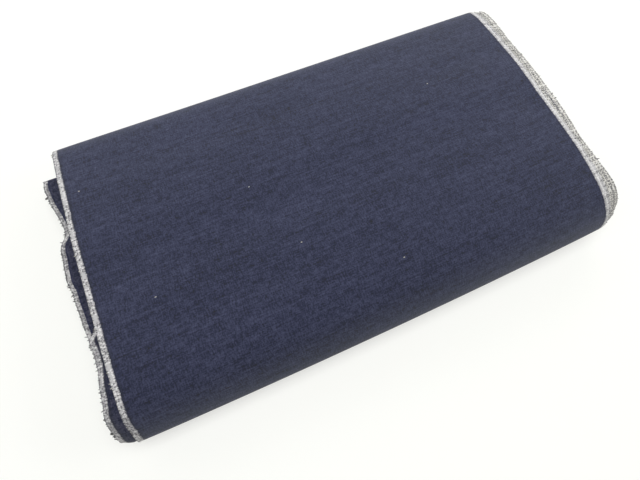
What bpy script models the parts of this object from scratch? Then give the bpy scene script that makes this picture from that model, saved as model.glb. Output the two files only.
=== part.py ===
"""A length of indigo tsumugi silk for one kimono, wound flat into a soft bundle.

The cloth is one long strip with pale woven selvedges. It is wound round and round on itself,
so the bundle has a soft fold in front, one at the back and two ends where the selvedges of all
turns show. The three outer turns are walls of cloth. The turns hidden inside them share one
rounded solid with layered ends, and the innermost turn slips out of the left end.

X runs along the cloth's width, -Y is the front fold, +Z is up and the underside lies on Z = 0.
"""

import math
from bisect import bisect_right

import bmesh
import bpy
from mathutils import Vector
from mathutils.geometry import interpolate_bezier

MM = 0.001

# The cloth
CLOTH_WIDTH = 367 * MM
SELVEDGE_WIDTH = 4 * MM
CLOTH_WALL = 1.0 * MM
CLEARANCE = 0.3 * MM
SELVEDGE_SEAM = 0.4 * MM
TURN_PITCH = CLOTH_WALL + CLEARANCE

# The bundle's section at its right end, from the front of the flat underside, round the front
# fold, over the top and round the back fold: (place from front to back, height) in mm
SECTION_MM = (
    (-94, 0),
    (-104, 4.2),
    (-109.3, 10.5),
    (-110.4, 17.7),
    (-108.4, 25.4),
    (-102.8, 34.1),
    (-94, 40.4),
    (-82, 43.8),
    (-62, 45.6),
    (-32, 45),
    (-2, 43.2),
    (28, 41.5),
    (58, 37.6),
    (78, 33.9),
    (97, 29.7),
    (105, 26.3),
    (109.4, 21.5),
    (110.4, 15.9),
    (107.7, 8.5),
    (98, 2),
    (88, 0),
)
HALF_DEPTH = 110.4 * MM
LEFT_END_LOWER = 0.117
PUSHED_ASKEW = 4 * MM
FRONT_BELLY = 2.2 * MM

# How the walls are faceted
ROUND_STEPS = 44
ACROSS_PLACES = (0, 0.03, 0.25, 0.5, 0.75, 1)
TURNING_WEIGHT = 0.5
SHARP_ANGLE = math.radians(40)
CURVE_POINTS = 12
UNDERSIDE_POINTS = 40
LEVEL_RUN_MM = 10
CUT_END_STATION = 0.96

# Where each outer turn lies to the right of its woven place: (share of the way round, mm)
# The share is 0 at the front of the underside, 0.05 on the front fold, 0.12 on its shoulder,
# 0.32 halfway across the top, 0.56 on the back fold and 0.81 halfway across the underside.
OUTER_TURN_SLIP = ((0.05, -1), (0.12, -0.5), (0.2, 0), (0.81, 0))
SECOND_TURN_SLIP = (
    (0.05, -11),
    (0.09, -10),
    (0.12, -9),
    (0.15, -7),
    (0.19, -5.6),
    (0.22, -4.5),
    (0.25, -0.5),
    (0.3, 1.5),
    (0.4, 3),
    (0.5, 4),
    (0.56, 4),
    (0.65, 2),
    (0.85, -4),
)
THIRD_TURN_SLIP = (
    (0.04, 5),
    (0.06, 8),
    (0.08, 9),
    (0.1, 11),
    (0.13, 12),
    (0.17, 9.5),
    (0.22, 7.5),
    (0.3, 9),
    (0.36, 8.5),
    (0.44, 8),
    (0.5, 10.5),
    (0.56, 10),
    (0.65, 5),
    (0.85, 3),
)

FREE_EDGE_CURL = 0.45
FREE_FROM = 3 * MM

# The hidden turns, from the third turn's inside to the innermost turn, folded flat
OUTER_TURNS = 3
HIDDEN_RIDGES = 13
CORE_DEPTH_SHARE = 0.9
CORE_HEIGHT_SHARE = 0.12
RIDGE_RELIEF = 1.4 * MM
MIDDLE_HEIGHT_MM = ((-110, 18.5), (-62, 22.5), (0, 21.5), (60, 18.7), (110, 15.5))
RIGHT_RIDGES_OUT_MM = ((0.0, 8.0), (0.25, 5.0), (0.6, 2.0), (1.0, 0.0))
LEFT_RIDGES_OUT_MM = ((0.0, -2.0), (0.5, -1.0), (1.0, 0.5))
RIDGE_WANDER = 0.6 * MM

# How far the innermost turn slips out of the left end: (place from front to back, mm)
CORE_FRONT = -88
CORE_BACK = 90
CORE_STEPS = 30
CORE_OUT_MM = (
    (-88, 6),
    (-60, 9),
    (-33, 11.5),
    (-13, 13.5),
    (5, 15),
    (18, 15.5),
    (28, 13),
    (36, 7),
    (44, 7),
    (52, 9),
    (70, 13),
    (90, 14.5),
)

# Finishes
INDIGO = (0.055, 0.062, 0.108, 1)
PALE_SELVEDGE = (0.66, 0.66, 0.64, 1)
CLOTH_ROUGHNESS = 0.9


def table_value(table, place):
    """A value on a smooth curve through the rows of a table, held level past its ends."""
    if place <= table[0][0]:
        return table[0][1]
    if place >= table[-1][0]:
        return table[-1][1]
    i = next(k for k in range(len(table) - 1) if place <= table[k + 1][0])
    span = table[i + 1][0] - table[i][0]
    leaving, arriving = table_slope(table, i) * span, table_slope(table, i + 1) * span
    t = (place - table[i][0]) / span
    rise = table[i + 1][1] - table[i][1]
    bend = leaving * (1 - t) - arriving * t + rise * (2 * t - 1)
    return table[i][1] + rise * t + t * (1 - t) * bend


def table_slope(table, i):
    """The slope of a table's curve at one of its rows."""
    if i in (0, len(table) - 1):
        return 0.0
    return (table[i + 1][1] - table[i - 1][1]) / (table[i + 1][0] - table[i - 1][0])


def round_table_value(table, share):
    """A value between the rows of a table that goes round a turn and meets itself."""
    before = [(place - 1, value) for place, value in table]
    after = [(place + 1, value) for place, value in table]
    return table_value([*before, *table, *after], share % 1)


def curve_through(points):
    """A smooth curve through points, which leaves and meets the flat underside level."""
    before = (points[0][0] + LEVEL_RUN_MM, points[0][1])
    after = (points[-1][0] - LEVEL_RUN_MM, points[-1][1])
    chain = [Vector(point) for point in (before, *points, after)]
    curve = []
    for a, b, c, d in zip(chain, chain[1:], chain[2:], chain[3:]):
        reach = (c - b).length / 3
        leaving = b + (c - a).normalized() * reach
        arriving = c - (d - b).normalized() * reach
        curve += interpolate_bezier(b, leaving, arriving, c, CURVE_POINTS)[:-1]
    curve.append(chain[-2])
    return [tuple(point) for point in curve]


def outline():
    """The outer turn's closed outline as (depth, height), in metres."""
    over = curve_through(SECTION_MM)
    back, front = over[-1][0], over[0][0]
    steps = range(1, UNDERSIDE_POINTS)
    under = [(back + (front - back) * i / UNDERSIDE_POINTS, 0.0) for i in steps]
    return [(y * MM, z * MM) for y, z in over + under]


class Winding:
    """Places round the bundle, from the share of the way round and the depth inside it."""

    def __init__(self):
        points = outline()
        closed = points + points[:1]
        self.length = [0.0]
        for p, q in zip(closed, closed[1:]):
            self.length.append(self.length[-1] + math.dist(p, q))
        self.round = self.length[-1]
        self.points = closed
        self.outwards = [self.normal(i) for i in range(len(points))]
        self.outwards.append(self.outwards[0])
        self.stations = self.even_stations()

    def normal(self, i):
        count = len(self.points) - 1
        before = self.points[(i - 1) % count]
        after = self.points[(i + 1) % count]
        size = math.dist(before, after)
        return (-(after[1] - before[1]) / size, (after[0] - before[0]) / size)

    def even_stations(self):
        """Shares of the way round that lie closer where the cloth turns round a fold."""
        weight = [0.0]
        for i in range(len(self.points) - 1):
            a, b = self.outwards[i], self.outwards[i + 1]
            turning = math.atan2(a[0] * b[1] - a[1] * b[0], a[0] * b[0] + a[1] * b[1])
            stretch = (self.length[i + 1] - self.length[i]) / self.round
            weight.append(weight[-1] + stretch + TURNING_WEIGHT * abs(turning) / math.pi)
        shares = [length / self.round for length in self.length]
        return list(zip((w / weight[-1] for w in weight), shares))

    def station(self, share):
        """The share of the way round at an even station."""
        whole = math.floor(share)
        rest = share - whole
        for (low, a), (high, b) in zip(self.stations, self.stations[1:]):
            if rest <= high:
                return whole + a + (b - a) * (rest - low) / (high - low)
        return whole + 1.0

    def at(self, share, inwards=0.0):
        """(depth, height) at a share of the way round, that far inside the outer turn."""
        length = (share % 1) * self.round
        i = min(bisect_right(self.length, length), len(self.points) - 1) - 1
        part = (length - self.length[i]) / (self.length[i + 1] - self.length[i])
        values = []
        for axis in (0, 1):
            point = self.points[i][axis] * (1 - part) + self.points[i + 1][axis] * part
            out = self.outwards[i][axis] * (1 - part) + self.outwards[i + 1][axis] * part
            values.append(point - inwards * out)
        return tuple(values)


def placed(x, depth, height):
    """A point of the bundle: lower at its left end, pushed askew, its front fold bowed out."""
    lower = 1 - LEFT_END_LOWER * (0.5 - x / CLOTH_WIDTH)
    forward = max(0.0, -depth / HALF_DEPTH)
    belly = FRONT_BELLY * (1 - (2 * x / CLOTH_WIDTH) ** 2) * forward
    return (x + PUSHED_ASKEW * depth / HALF_DEPTH, depth - belly, height * lower)


def add_object(name, mesh_maker, collection, material):
    """A new object from a function that fills an empty bmesh."""
    bm = bmesh.new()
    mesh_maker(bm)
    mesh = bpy.data.meshes.new(name)
    bm.to_mesh(mesh)
    bm.free()
    mesh.materials.append(material)
    mesh.shade_smooth()
    mesh.set_sharp_from_angle(angle=SHARP_ANGLE)
    obj = bpy.data.objects.new(name, mesh)
    collection.objects.link(obj)
    return obj


def add_wound_strip(name, winding, turn, slip, edges, places, collection, material):
    """A strip of one turn, wound round the bundle from its cut line back to it.

    The edges are how far the strip's two sides lie from the cloth's left edge, and the places
    are the shares of the way between them where the strip has points. What slips out of the
    left end is free, so it curls in towards the turns below.
    """
    gap = CLEARANCE / winding.round
    start = winding.station(CUT_END_STATION - 1) + gap / 2
    end = winding.station(CUT_END_STATION) - gap / 2

    def wind(bm):
        steps = len(places) - 1
        bmesh.ops.create_grid(bm, x_segments=ROUND_STEPS, y_segments=steps, size=0.5)
        for vert in bm.verts:
            share = winding.station(CUT_END_STATION - 0.5 + vert.co.x)
            share = min(max(share, start), end)
            place = places[round((vert.co.y + 0.5) * steps)]
            across = edges[0] + (edges[1] - edges[0]) * place
            x = across - CLOTH_WIDTH / 2 + round_table_value(slip, share) * MM
            free = max(0.0, -x - CLOTH_WIDTH / 2 - FREE_FROM)
            inwards = turn * (TURN_PITCH + FREE_EDGE_CURL * free)
            vert.co = placed(x, *winding.at(share, inwards))
        bmesh.ops.reverse_faces(bm, faces=bm.faces[:])

    obj = add_object(name, wind, collection, material)
    wall = obj.modifiers.new("cloth wall", "SOLIDIFY")
    wall.thickness = CLOTH_WALL
    wall.offset = -1
    wall.use_even_offset = True
    return obj


def add_turn(name, winding, turn, slip, collection, indigo, pale):
    """One whole turn of cloth: its dark web and the selvedge along each side."""
    web = (SELVEDGE_WIDTH + SELVEDGE_SEAM / 2, CLOTH_WIDTH - SELVEDGE_WIDTH - SELVEDGE_SEAM / 2)
    left = (0.0, SELVEDGE_WIDTH - SELVEDGE_SEAM / 2)
    right = (CLOTH_WIDTH - SELVEDGE_WIDTH + SELVEDGE_SEAM / 2, CLOTH_WIDTH)
    common = (winding, turn, slip)
    add_wound_strip(f"{name}_turn", *common, web, ACROSS_PLACES, collection, indigo)
    add_wound_strip(f"{name}_selvedge_left", *common, left, (0, 1), collection, pale)
    add_wound_strip(f"{name}_selvedge_right", *common, right, (0, 1), collection, pale)


def middle_height(depth):
    """The height halfway through the turns, where the innermost one lies."""
    return table_value(MIDDLE_HEIGHT_MM, depth / MM) * MM


def hidden_ring(winding, nesting):
    """(depth, height) round one hidden turn, from 0 for the outermost to 1 for the core."""
    ring = []
    for step in range(ROUND_STEPS):
        share = winding.station(step / ROUND_STEPS)
        depth, height = winding.at(share, OUTER_TURNS * TURN_PITCH)
        above_middle = height - middle_height(depth)
        narrower = 1 - nesting * (1 - CORE_DEPTH_SHARE)
        flatter = 1 - nesting * (1 - CORE_HEIGHT_SHARE)
        depth *= narrower
        ring.append((depth, middle_height(depth) + above_middle * flatter))
    return ring


def add_loft(name, loops, is_ring, collection, material):
    """A solid through loops of equal count: closed at both ends, or back on itself."""

    def loft(bm):
        rows = [[bm.verts.new(placed(*point)) for point in loop] for loop in loops]
        following = rows[1:] + rows[:1] if is_ring else rows[1:]
        for row, after in zip(rows, following):
            for i in range(len(row)):
                k = (i + 1) % len(row)
                bm.faces.new((row[i], row[k], after[k], after[i]))
        if not is_ring:
            bm.faces.new(rows[0][::-1])
            bm.faces.new(rows[-1])
        bmesh.ops.recalc_face_normals(bm, faces=bm.faces[:])

    return add_object(name, loft, collection, material)


def level_loop(ring, x):
    """A ring's points at one place along the width."""
    return [(x, depth, height) for depth, height in ring]


def ridge_loop(ring, x, ridge, side):
    """A ring's points along a selvedge that wanders a little in and out, each its own way."""
    loop = []
    for i, (depth, height) in enumerate(ring):
        angle = 2 * math.pi * i / len(ring)
        wander = math.sin(2 * angle + 2 * ridge) + math.sin(3 * angle - ridge) / 2
        loop.append((x + side * RIDGE_WANDER * wander, depth, height))
    return loop


def layered_face(winding, side, out_table):
    """The loops of a layered end, from the outermost ridge in to the core's hole."""
    edge = side * CLOTH_WIDTH / 2
    loops = []
    for ridge in range(HIDDEN_RIDGES):
        nesting = ridge / HIDDEN_RIDGES
        half_turn = 0.5 / HIDDEN_RIDGES
        out = table_value(out_table, nesting) * MM
        x = edge + side * out
        loops.append(ridge_loop(hidden_ring(winding, nesting), x, ridge, side))
        groove = hidden_ring(winding, nesting + half_turn)
        loops.append(ridge_loop(groove, x - side * RIDGE_RELIEF, ridge, side))
    return loops


def add_hidden_turns(winding, collection, indigo, pale):
    """The rounded solid of the hidden turns and the layered selvedges at its two ends."""
    half_web = CLOTH_WIDTH / 2 - SELVEDGE_WIDTH
    skin = hidden_ring(winding, 0)
    loops = [level_loop(skin, half_web * (2 * place - 1)) for place in ACROSS_PLACES]
    add_loft("inner_turns", loops, False, collection, indigo)

    base = half_web + CLEARANCE
    right = layered_face(winding, 1, RIGHT_RIDGES_OUT_MM)
    right.insert(0, level_loop(skin, base))
    add_loft("inner_selvedges_right", right, False, collection, pale)

    around_core = hidden_ring(winding, 1 - 0.5 / HIDDEN_RIDGES)
    left = layered_face(winding, -1, LEFT_RIDGES_OUT_MM)
    left.insert(0, level_loop(skin, -base))
    left.append(level_loop(around_core, -base))
    add_loft("inner_selvedges_left", left, True, collection, pale)


def add_core_flap(name, near, far, collection, material):
    """A flat doubled stretch of the innermost turn, between two edges given as functions."""

    def lay(bm):
        bmesh.ops.create_grid(bm, x_segments=1, y_segments=CORE_STEPS, size=0.5)
        for vert in bm.verts:
            depth = (CORE_FRONT + (CORE_BACK - CORE_FRONT) * (vert.co.y + 0.5)) * MM
            x = far(depth) + (near(depth) - far(depth)) * (vert.co.x + 0.5)
            vert.co = placed(x, depth, middle_height(depth))

    obj = add_object(name, lay, collection, material)
    wall = obj.modifiers.new("two layers of cloth", "SOLIDIFY")
    wall.thickness = 2 * CLOTH_WALL
    wall.offset = 0
    return obj


def add_core(collection, indigo, pale):
    """The innermost turn, folded flat, where it slips out of the left end."""

    def web_start(depth):
        return -(CLOTH_WIDTH / 2 - SELVEDGE_WIDTH + CLEARANCE)

    def edge(depth):
        return -CLOTH_WIDTH / 2 - table_value(CORE_OUT_MM, depth / MM) * MM

    def web_end(depth):
        return edge(depth) + SELVEDGE_WIDTH + SELVEDGE_SEAM / 2

    def selvedge_start(depth):
        return edge(depth) + SELVEDGE_WIDTH - SELVEDGE_SEAM / 2

    add_core_flap("core_turn", web_start, web_end, collection, indigo)
    add_core_flap("core_selvedge_left", selvedge_start, edge, collection, pale)


def cloth_material(name, colour):
    """A matt woven silk in one colour."""
    material = bpy.data.materials.new(name)
    material.use_nodes = True
    shader = material.node_tree.nodes["Principled BSDF"]
    shader.inputs["Base Color"].default_value = colour
    shader.inputs["Roughness"].default_value = CLOTH_ROUGHNESS
    shader.inputs["Metallic"].default_value = 0.0
    material.diffuse_color = colour
    return material


def build():
    for obj in list(bpy.data.objects):
        bpy.data.objects.remove(obj)
    collection = bpy.data.collections.new("folded_tsumugi_cloth")
    bpy.context.scene.collection.children.link(collection)
    indigo = cloth_material("indigo_tsumugi", INDIGO)
    pale = cloth_material("pale_selvedge", PALE_SELVEDGE)
    winding = Winding()
    add_turn("outer", winding, 0, OUTER_TURN_SLIP, collection, indigo, pale)
    add_turn("second", winding, 1, SECOND_TURN_SLIP, collection, indigo, pale)
    add_turn("third", winding, 2, THIRD_TURN_SLIP, collection, indigo, pale)
    add_hidden_turns(winding, collection, indigo, pale)
    add_core(collection, indigo, pale)
    print(f"one turn of the cloth is {winding.round / MM:.0f} mm round")


build()
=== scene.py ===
# %% [markdown]
# # A wound length of tsumugi silk
#
# Silk for one kimono is woven as a single narrow strip, more than twelve metres long, and is kept
# wound flat round itself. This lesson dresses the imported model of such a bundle: it lays thin
# cloth on the model's solids, frays the woven edges and gives each yarn its finish.

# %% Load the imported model
import math
import random

import bmesh
import bpy
import numpy as np
from mathutils import Matrix, Quaternion, Vector
from mathutils.geometry import interpolate_bezier
from mathutils.noise import noise


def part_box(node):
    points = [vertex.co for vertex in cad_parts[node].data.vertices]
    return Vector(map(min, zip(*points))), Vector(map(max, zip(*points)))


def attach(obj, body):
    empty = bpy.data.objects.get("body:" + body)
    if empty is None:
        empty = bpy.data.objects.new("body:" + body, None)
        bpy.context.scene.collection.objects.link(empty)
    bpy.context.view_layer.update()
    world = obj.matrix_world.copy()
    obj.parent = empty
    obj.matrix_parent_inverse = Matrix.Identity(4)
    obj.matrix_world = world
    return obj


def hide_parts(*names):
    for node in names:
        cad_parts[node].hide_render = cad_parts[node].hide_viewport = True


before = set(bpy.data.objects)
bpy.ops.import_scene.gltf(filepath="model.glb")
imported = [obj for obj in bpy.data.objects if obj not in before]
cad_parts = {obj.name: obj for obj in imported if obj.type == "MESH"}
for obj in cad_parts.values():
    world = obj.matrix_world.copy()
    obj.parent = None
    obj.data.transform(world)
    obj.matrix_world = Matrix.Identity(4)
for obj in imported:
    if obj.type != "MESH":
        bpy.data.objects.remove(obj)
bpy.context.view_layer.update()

print("nodes of the frame:", ", ".join(sorted(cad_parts)))

# %% [markdown]
# ## The cloth's own sizes
#
# Everything in the lesson follows from how this cloth is woven: its width, the pale selvedge
# along each side, and how closely one turn lies on the next. The silk itself is half a
# millimetre thick. The rest of each turn's pitch is the air that soft layers hold.

# %% Sizes of the cloth
MM = 0.001
CLOTH_WIDTH = 367 * MM
SELVEDGE_WIDTH = 4 * MM
CLOTH_THICK = 0.5 * MM
TURN_PITCH = 1.3 * MM
WEFT_PITCH = 0.6 * MM
WARP_PITCH = 0.4 * MM
print(f"web between the selvedges: {(CLOTH_WIDTH - 2 * SELVEDGE_WIDTH) / MM:.0f} mm")

# %% [markdown]
# ## The bundle's section
#
# Seen from its end, the bundle is a flat oval with a high soft fold in front and a low one at
# the back. A short table holds that outline, and a Bezier curve runs through its rows, because
# cloth has no corners. Walking round the curve gives every place on a turn one number: its share
# of the way round, from 0 at the front of the underside, over the top, and back.

# %% The outline and the walk round it
SECTION_MM = (
    (-94, 0), (-104, 4.2), (-109.3, 10.5), (-110.4, 17.7), (-108.4, 25.4), (-102.8, 34.1),
    (-94, 40.4), (-82, 43.8), (-62, 45.6), (-32, 45), (-2, 43.2), (28, 41.5), (58, 37.6),
    (78, 33.9), (97, 29.7), (105, 26.3), (109.4, 21.5), (110.4, 15.9), (107.7, 8.5), (98, 2),
    (88, 0),
)
LEVEL_RUN_MM = 10
CURVE_POINTS = 24
UNDERSIDE_POINTS = 80


def outline_mm():
    """Points on a smooth curve through the section's rows, then back along the flat underside."""
    first, last = SECTION_MM[0], SECTION_MM[-1]
    ends = ((first[0] + LEVEL_RUN_MM, first[1]), (last[0] - LEVEL_RUN_MM, last[1]))
    chain = [Vector(point) for point in (ends[0], *SECTION_MM, ends[1])]
    points = []
    for before, start, end, after in zip(chain, chain[1:], chain[2:], chain[3:]):
        reach = (end - start).length / 3
        leaving = start + (end - before).normalized() * reach
        arriving = end - (after - start).normalized() * reach
        points += interpolate_bezier(start, leaving, arriving, end, CURVE_POINTS)[:-1]
    steps = [i / UNDERSIDE_POINTS for i in range(UNDERSIDE_POINTS)]
    return points + [Vector(last).lerp(Vector(first), step) for step in steps]


walk = np.array(outline_mm()) * MM
walk = np.vstack([walk, walk[:1]])
lengths = np.concatenate([[0], np.cumsum(np.linalg.norm(np.diff(walk, axis=0), axis=1))])
ROUND = lengths[-1]
SHARES = lengths / ROUND
run = np.gradient(walk, lengths, axis=0)
run[0] = run[-1] = (run[0] + run[-1]) / 2
OUTWARDS = np.stack([-run[:, 1], run[:, 0]], axis=1) / np.linalg.norm(run, axis=1)[:, None]
print(f"one turn is {ROUND / MM:.0f} mm round")

# %% [markdown]
# The finished bundle isn't a straight extrusion of that section. Its left end is a little lower,
# it was pushed askew, and its front fold bows out in the middle. One function carries a place on
# the straight section to its place in the bundle, so every layer follows the same form.

# %% From the section to the bundle
HALF_DEPTH = 110.4 * MM
LEFT_END_LOWER = 0.117
PUSHED_ASKEW = 4 * MM
FRONT_BELLY = 2.2 * MM


def section_place(share, inwards):
    """(depth, height) at a share of the way round, that far inside the outer turn."""
    share %= 1
    return [
        np.interp(share, SHARES, walk[:, axis]) - inwards * np.interp(share, SHARES, OUTWARDS[:, axis])
        for axis in (0, 1)
    ]


def bundle_point(x, depth, height):
    """A place on the straight section, carried to where it lies in the bundle."""
    lower = 1 - LEFT_END_LOWER * (0.5 - x / CLOTH_WIDTH)
    forward = max(0.0, -depth / HALF_DEPTH)
    belly = FRONT_BELLY * (1 - (2 * x / CLOTH_WIDTH) ** 2) * forward
    return Vector((x + PUSHED_ASKEW * depth / HALF_DEPTH, depth - belly, height * lower))


solid_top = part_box("outer_turn")[1].z
middle_top = bundle_point(0, *section_place(0.3, 0)).z
print(f"top at the middle {middle_top / MM:.1f} mm, the solid's top {solid_top / MM:.1f} mm")

# %% [markdown]
# ## How the turns have slipped
#
# Nobody winds twelve metres of silk true. Each turn has slid a few millimetres along the bundle,
# more at one place of its round than at another, and that is what shows the pale edges of inner
# turns beside the outer one. Each table gives the share of the way round and the slip to the
# right in millimetres. Values between rows lie on a smooth curve.

# %% Slip tables
OUTER_SLIP = ((0.04, 0.8), (0.085, 1.3), (0.1, 0.4), (0.12, 0), (0.2, 0.4), (0.34, 0), (0.81, 0))
SECOND_SLIP = (
    (0.05, -8.5), (0.085, -9.2), (0.1, -9.8), (0.115, -10.3), (0.124, -10.1), (0.132, -9.1),
    (0.15, -7.9), (0.162, -7.1), (0.172, -6.0), (0.182, -5.1), (0.195, -4.7), (0.21, -5.0),
    (0.222, -5.4), (0.233, -0.6), (0.26, 0.6), (0.3, 1.5), (0.4, 3), (0.5, 4), (0.56, 4),
    (0.65, 2), (0.85, -4),
)
THIRD_SLIP = (
    (0.04, 5), (0.06, 8.6), (0.085, 9.6), (0.1, 11.8), (0.13, 12.3), (0.17, 9.8), (0.22, 8),
    (0.3, 9.7), (0.36, 9.2), (0.44, 8.7), (0.5, 10.5), (0.56, 10), (0.65, 5), (0.85, 3),
)


def row_slope(table, i):
    """The slope of a table's curve at one of its rows, level at its ends."""
    if i in (0, len(table) - 1):
        return 0.0
    return (table[i + 1][1] - table[i - 1][1]) / (table[i + 1][0] - table[i - 1][0])


def between_rows(table, place):
    """A value on a smooth curve through a table's rows, held level past its ends."""
    if place <= table[0][0]:
        return table[0][1]
    if place >= table[-1][0]:
        return table[-1][1]
    i = next(k for k in range(len(table) - 1) if place <= table[k + 1][0])
    span = table[i + 1][0] - table[i][0]
    rise = table[i + 1][1] - table[i][1]
    leaving, arriving = row_slope(table, i) * span, row_slope(table, i + 1) * span
    t = (place - table[i][0]) / span
    bend = leaving * (1 - t) - arriving * t + rise * (2 * t - 1)
    return table[i][1] + rise * t + t * (1 - t) * bend


def slip_at(table, share):
    """A slip in metres, from a table that goes round a turn and meets itself."""
    before = [(place - 1, value) for place, value in table]
    after = [(place + 1, value) for place, value in table]
    return between_rows([*before, *table, *after], share % 1) * MM


print(f"second turn halfway over the top has slipped {slip_at(SECOND_SLIP, 0.32) / MM:.1f} mm")

# %% [markdown]
# ## Soft troughs and ridges
#
# The silk is soft and the turns under it are uneven, so its top isn't a clean curve. Long shallow
# troughs and ridges run with the weft, a few short ones cross them near the ends, and the woven
# edges flutter because their warps were beaten tighter. Creases are given one by one. Small random
# ones would look like noise and not like folded cloth.

# %% Creases, given one by one
# (across the cloth, round it from the front of the underside, half length, half width, depth,
# turned from the weft in degrees), all else in mm. A negative depth is a ridge.
CREASES_MM = (
    (95, 98, 120, 9, 0.5, 3),
    (230, 112, 110, 12, -0.45, -2),
    (300, 88, 70, 8, 0.45, 2),
    (150, 138, 140, 14, 0.5, 1),
    (262, 160, 90, 11, 0.45, -3),
    (70, 178, 70, 12, -0.4, 4),
    (190, 192, 120, 16, -0.45, 0),
    (320, 205, 60, 9, 0.4, 5),
    (120, 222, 100, 13, 0.4, -2),
    (255, 240, 110, 12, -0.35, 2),
    (352, 150, 16, 5, 0.5, 78),
    (338, 190, 20, 6, 0.4, 70),
    (16, 120, 14, 5, 0.4, 96),
    (24, 205, 18, 6, 0.35, 84),
    (2, 225, 5, 1.5, 0.7, 4),
    (356, 62, 12, 5, 0.5, 62),
    (180, 44, 150, 6, 0.35, 1),
    (60, 34, 60, 5, -0.3, -2),
    (290, 36, 70, 5, -0.3, 2),
    (120, 262, 90, 7, 0.3, -1),
    (290, 270, 80, 6, 0.3, 2),
)
OVER_TOP = ((0.0, 0.0), (0.04, 1.0), (0.55, 1.0), (0.61, 0.0))
FLUTTER_REACH = 9 * MM
FLUTTER_SIDEWAYS = 0.45 * MM
FLUTTER_SINK = 0.35 * MM
WIDE_WAVE, TIGHT_WAVE, SINK_WAVE = 34 * MM, 7 * MM, 16 * MM


def crease_depth(across, share):
    """How far the creases sink the cloth at a place, in metres. The underside stays flat."""
    hold = between_rows(OVER_TOP, share % 1)
    if hold == 0:
        return 0.0
    total = 0.0
    for place, reach, half_length, half_width, depth, turned in CREASES_MM:
        sideways, onwards = across / MM - place, (share % 1) * ROUND / MM - reach
        turn = math.radians(turned)
        with_weft = sideways * math.cos(turn) + onwards * math.sin(turn)
        over_weft = onwards * math.cos(turn) - sideways * math.sin(turn)
        total += depth * math.exp(-((with_weft / half_length) ** 2) - (over_weft / half_width) ** 2)
    return hold * total * MM


def edge_flutter(across, along, layer):
    """How far the cloth near a selvedge strays sideways, and how far it sinks, in metres."""
    side = -1 if across < CLOTH_WIDTH / 2 else 1
    hold = math.exp(-min(across, CLOTH_WIDTH - across) / FLUTTER_REACH)
    wide = noise(Vector((along / WIDE_WAVE, side * 3, layer * 5)))
    tight = noise(Vector((along / TIGHT_WAVE, side * 3, layer * 5 + 2)))
    sink = noise(Vector((along / SINK_WAVE, side * 9, layer * 5 + 3)))
    sideways = FLUTTER_SIDEWAYS * (wide + 0.4 * tight)
    return side * sideways * hold, FLUTTER_SINK * (0.5 + 0.5 * sink) * hold


deepest = max(crease_depth(x * CLOTH_WIDTH / 40, s / 100) for x in range(41) for s in range(4, 56))
print(f"deepest trough {deepest / MM:.2f} mm")

# %% [markdown]
# ## A recipe for finishes
#
# Dyed and undyed silk are both matt and a little fuzzy, so all the finishes are built alike: a
# Principled shader whose colour and bump come from patterns in the cloth's own flat coordinates.
# One helper adds a node and hands back its outputs, which the next node takes as its values.
# Another turns the sRGB hex values, in which colours are easy to read, into the linear ones that
# Blender shades with.

# %% Helpers for node trees
MATH, MIX, RANGE = "ShaderNodeMath", "ShaderNodeMix", "ShaderNodeMapRange"


def linear(hex_colour):
    """An sRGB hex colour as linear red, green, blue and full alpha."""
    parts = [int(hex_colour[i : i + 2], 16) / 255 for i in (1, 3, 5)]
    return (*[p / 12.92 if p <= 0.04045 else ((p + 0.055) / 1.055) ** 2.4 for p in parts], 1)


def add_node(tree, kind, values=None):
    """A new node's outputs. Each value is a property, an input's constant or another's output."""
    node = tree.nodes.new(kind)
    for key, value in (values or {}).items():
        if isinstance(value, bpy.types.NodeSocket):
            tree.links.new(value, node.inputs[key])
        elif isinstance(key, str) and hasattr(node, key):
            setattr(node, key, value)
        else:
            node.inputs[key].default_value = value
    return node.outputs


def new_finish(name, **shader_values):
    """A new material, its tree, and its Principled shader with the constant values set."""
    material = bpy.data.materials.new(name)
    material.use_nodes = True
    shader = material.node_tree.nodes["Principled BSDF"]
    for key, value in shader_values.items():
        shader.inputs[key.replace("_", " ").title().replace("Ior", "IOR")].default_value = value
    return material, material.node_tree, shader


def colour_and_bump(tree, shader, colour, height, strength, distance):
    """Plug a colour into a finish, and a height as bump that is so many metres deep."""
    values = {"Strength": strength, "Distance": distance, "Height": height}
    bump = add_node(tree, "ShaderNodeBump", values)[0]
    tree.links.new(colour, shader.inputs["Base Color"])
    tree.links.new(bump, shader.inputs["Normal"])


def stretched_noise(tree, flat, size_mm, detail=1.0, shift=0.0):
    """Noise whose blobs are so many mm (across, along) on the flat cloth."""
    scale = (1 / (size_mm[0] * MM), 1 / (size_mm[1] * MM), 1)
    place = {"Location": (shift, shift * 1.7, shift * 0.3), "Scale": scale, "Vector": flat}
    mapped = add_node(tree, "ShaderNodeMapping", place)[0]
    pattern = {"noise_dimensions": "2D", "Scale": 1.0, "Detail": detail, "Roughness": 0.55}
    return add_node(tree, "ShaderNodeTexNoise", {**pattern, "Vector": mapped})[0]


def weighted_sum(tree, start, *terms):
    """start plus each source times its weight, where a source of 0.5 adds nothing."""
    total = start - sum(weight for _, weight in terms) / 2
    for source, weight in terms:
        values = {"operation": "MULTIPLY_ADD", 0: source, 1: weight, 2: total}
        total = add_node(tree, MATH, values)[0]
    return total


print("indigo in linear light:", [round(c, 3) for c in linear("#3E415C")[:3]])

# %% [markdown]
# ## Indigo tsumugi silk
#
# Tsumugi is woven from hand-spun floss silk. The yarn is uneven: thick places, called slubs, lie
# as short darker and lighter streaks along the weft, and fuzz takes the shine off. The real weave
# has about two threads to the millimetre, too fine for this picture, so it is only bump. The
# slubs and the grain over them are drawn as coarse as a view of the whole bundle shows them.

# %% The patterns of the dyed web
INDIGO_DARK = linear("#030D2F")
INDIGO_LIGHT = linear("#2D304A")
SLUB_MM = (14, 1.2)
SLUB_WEIGHT = 1.4
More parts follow.
